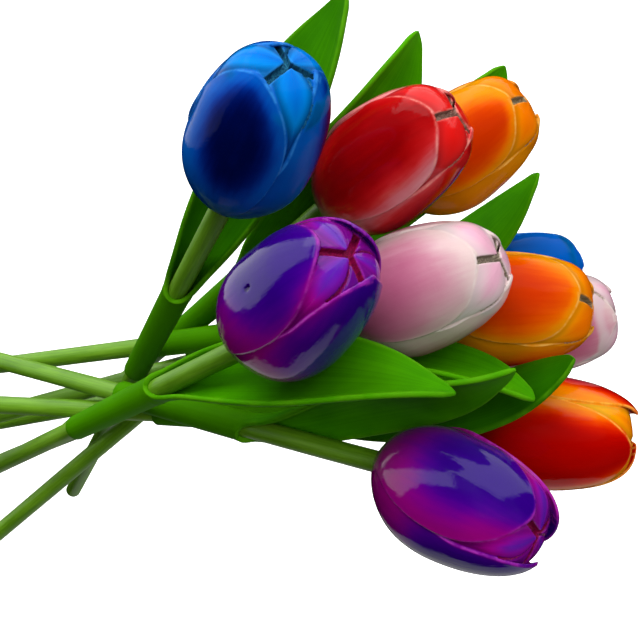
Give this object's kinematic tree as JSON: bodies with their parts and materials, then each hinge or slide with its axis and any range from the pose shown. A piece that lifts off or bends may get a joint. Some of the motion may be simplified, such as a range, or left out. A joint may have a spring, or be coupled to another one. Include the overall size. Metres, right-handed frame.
{
  "type": "wooden tulip bunch",
  "caption": "Bunch of painted carved wooden tulips: each has an egg-shaped petalled head glued on a dowel stem and a green leaf that slides on the stem by its tube.",
  "frame": {"origin": "the grip, where the stems cross, midway across the bunch", "axes": "+Z along the bunch from the stem feet towards the heads; -Y is the side that the picture looks at from above"},
  "size_m": [0.1989, 0.2392, 0.3571],
  "materials": {
    "paint_blue": "glossy lacquer, navy petal centres with paler blue margins",
    "paint_red": "glossy lacquer, deep red centres fading to pinkish white at the base",
    "paint_orange": "glossy lacquer, red-orange centres on yellow",
    "paint_violet": "glossy lacquer, indigo centres on magenta",
    "paint_pink": "glossy lacquer, pink centres on white",
    "paint_scarlet": "glossy lacquer, red centres on yellow",
    "stem_green": "satin paint on a wooden dowel",
    "leaf_green": "satin moulded plastic"
  },
  "bodies": {
    "blue_tulip": {"blue_head": "paint_blue", "blue_stem": "stem_green"},
    "blue_leaf": {"blue_leaf": "leaf_green"},
    "red_tulip": {"red_head": "paint_red", "red_stem": "stem_green"},
    "red_leaf": {"red_leaf": "leaf_green"},
    "orange_tulip": {"orange_head": "paint_orange", "orange_stem": "stem_green"},
    "orange_leaf": {"orange_leaf": "leaf_green"},
    "purple_tulip": {"purple_head": "paint_violet", "purple_stem": "stem_green"},
    "purple_leaf": {"purple_leaf": "leaf_green"},
    "pink_tulip": {"pink_head": "paint_pink", "pink_stem": "stem_green"},
    "pink_leaf": {"pink_leaf": "leaf_green"},
    "amber_tulip": {"amber_head": "paint_orange", "amber_stem": "stem_green"},
    "amber_leaf": {"amber_leaf": "leaf_green"},
    "rose_tulip": {"rose_head": "paint_pink", "rose_stem": "stem_green"},
    "rose_leaf": {"rose_leaf": "leaf_green"},
    "navy_tulip": {"navy_head": "paint_blue", "navy_stem": "stem_green"},
    "navy_leaf": {"navy_leaf": "leaf_green"},
    "violet_tulip": {"violet_head": "paint_violet", "violet_stem": "stem_green"},
    "violet_leaf": {"violet_leaf": "leaf_green"},
    "scarlet_tulip": {"scarlet_head": "paint_scarlet", "scarlet_stem": "stem_green"},
    "scarlet_leaf": {"scarlet_leaf": "leaf_green"}
  },
  "joints": [
    {"name": "blue_pull", "type": "slide", "parent": "amber_tulip", "child": "blue_tulip", "axis": [-0.3508, -0.4028, 0.8454], "range_m": [0, 0.3]},
    {"name": "blue_leaf_slide", "type": "slide", "parent": "blue_tulip", "child": "blue_leaf", "axis": [-0.3508, -0.4028, 0.8454], "range_m": [-0.012, 0.01]},
    {"name": "red_pull", "type": "slide", "parent": "amber_tulip", "child": "red_tulip", "axis": [-0.206, -0.288, 0.9352], "range_m": [0, 0.3]},
    {"name": "red_leaf_slide", "type": "slide", "parent": "red_tulip", "child": "red_leaf", "axis": [-0.206, -0.288, 0.9352], "range_m": [-0.004, 0.002]},
    {"name": "orange_pull", "type": "slide", "parent": "amber_tulip", "child": "orange_tulip", "axis": [-0.3329, 0.1307, 0.9339], "range_m": [0, 0.3]},
    {"name": "orange_leaf_slide", "type": "slide", "parent": "orange_tulip", "child": "orange_leaf", "axis": [-0.3329, 0.1307, 0.9339], "range_m": [-0.012, 0.004]},
    {"name": "purple_pull", "type": "slide", "parent": "amber_tulip", "child": "purple_tulip", "axis": [-0.0854, -0.2639, 0.9608], "range_m": [0, 0.3]},
    {"name": "purple_leaf_slide", "type": "slide", "parent": "purple_tulip", "child": "purple_leaf", "axis": [-0.0854, -0.2639, 0.9608], "range_m": [-0.004, 0.003]},
    {"name": "pink_pull", "type": "slide", "parent": "amber_tulip", "child": "pink_tulip", "axis": [-0.0614, -0.1316, 0.9894], "range_m": [0, 0.3]},
    {"name": "pink_leaf_slide", "type": "slide", "parent": "pink_tulip", "child": "pink_leaf", "axis": [-0.0614, -0.1316, 0.9894], "range_m": [-0.008, 0.002]},
    {"name": "amber_leaf_slide", "type": "slide", "parent": "amber_tulip", "child": "amber_leaf", "axis": [0.168, 0.1051, 0.9802], "range_m": [-0.004, 0.006]},
    {"name": "rose_pull", "type": "slide", "parent": "amber_tulip", "child": "rose_tulip", "axis": [0.1194, 0.216, 0.9691], "range_m": [0, 0.3]},
    {"name": "rose_leaf_slide", "type": "slide", "parent": "rose_tulip", "child": "rose_leaf", "axis": [0.1194, 0.216, 0.9691], "range_m": [-0.012, 0.012]},
    {"name": "navy_pull", "type": "slide", "parent": "amber_tulip", "child": "navy_tulip", "axis": [0.0483, 0.5435, 0.838], "range_m": [0, 0.3]},
    {"name": "navy_leaf_slide", "type": "slide", "parent": "navy_tulip", "child": "navy_leaf", "axis": [0.0483, 0.5435, 0.838], "range_m": [-0.005, 0.004]},
    {"name": "violet_pull", "type": "slide", "parent": "amber_tulip", "child": "violet_tulip", "axis": [0.3884, -0.115, 0.9143], "range_m": [0, 0.3]},
    {"name": "violet_leaf_slide", "type": "slide", "parent": "violet_tulip", "child": "violet_leaf", "axis": [0.3884, -0.115, 0.9143], "range_m": [-0.006, 0.003]},
    {"name": "scarlet_pull", "type": "slide", "parent": "amber_tulip", "child": "scarlet_tulip", "axis": [0.3124, 0.2059, 0.9274], "range_m": [0, 0.3]},
    {"name": "scarlet_leaf_slide", "type": "slide", "parent": "scarlet_tulip", "child": "scarlet_leaf", "axis": [0.3124, 0.2059, 0.9274], "range_m": [-0.005, 0.003]}
  ]
}
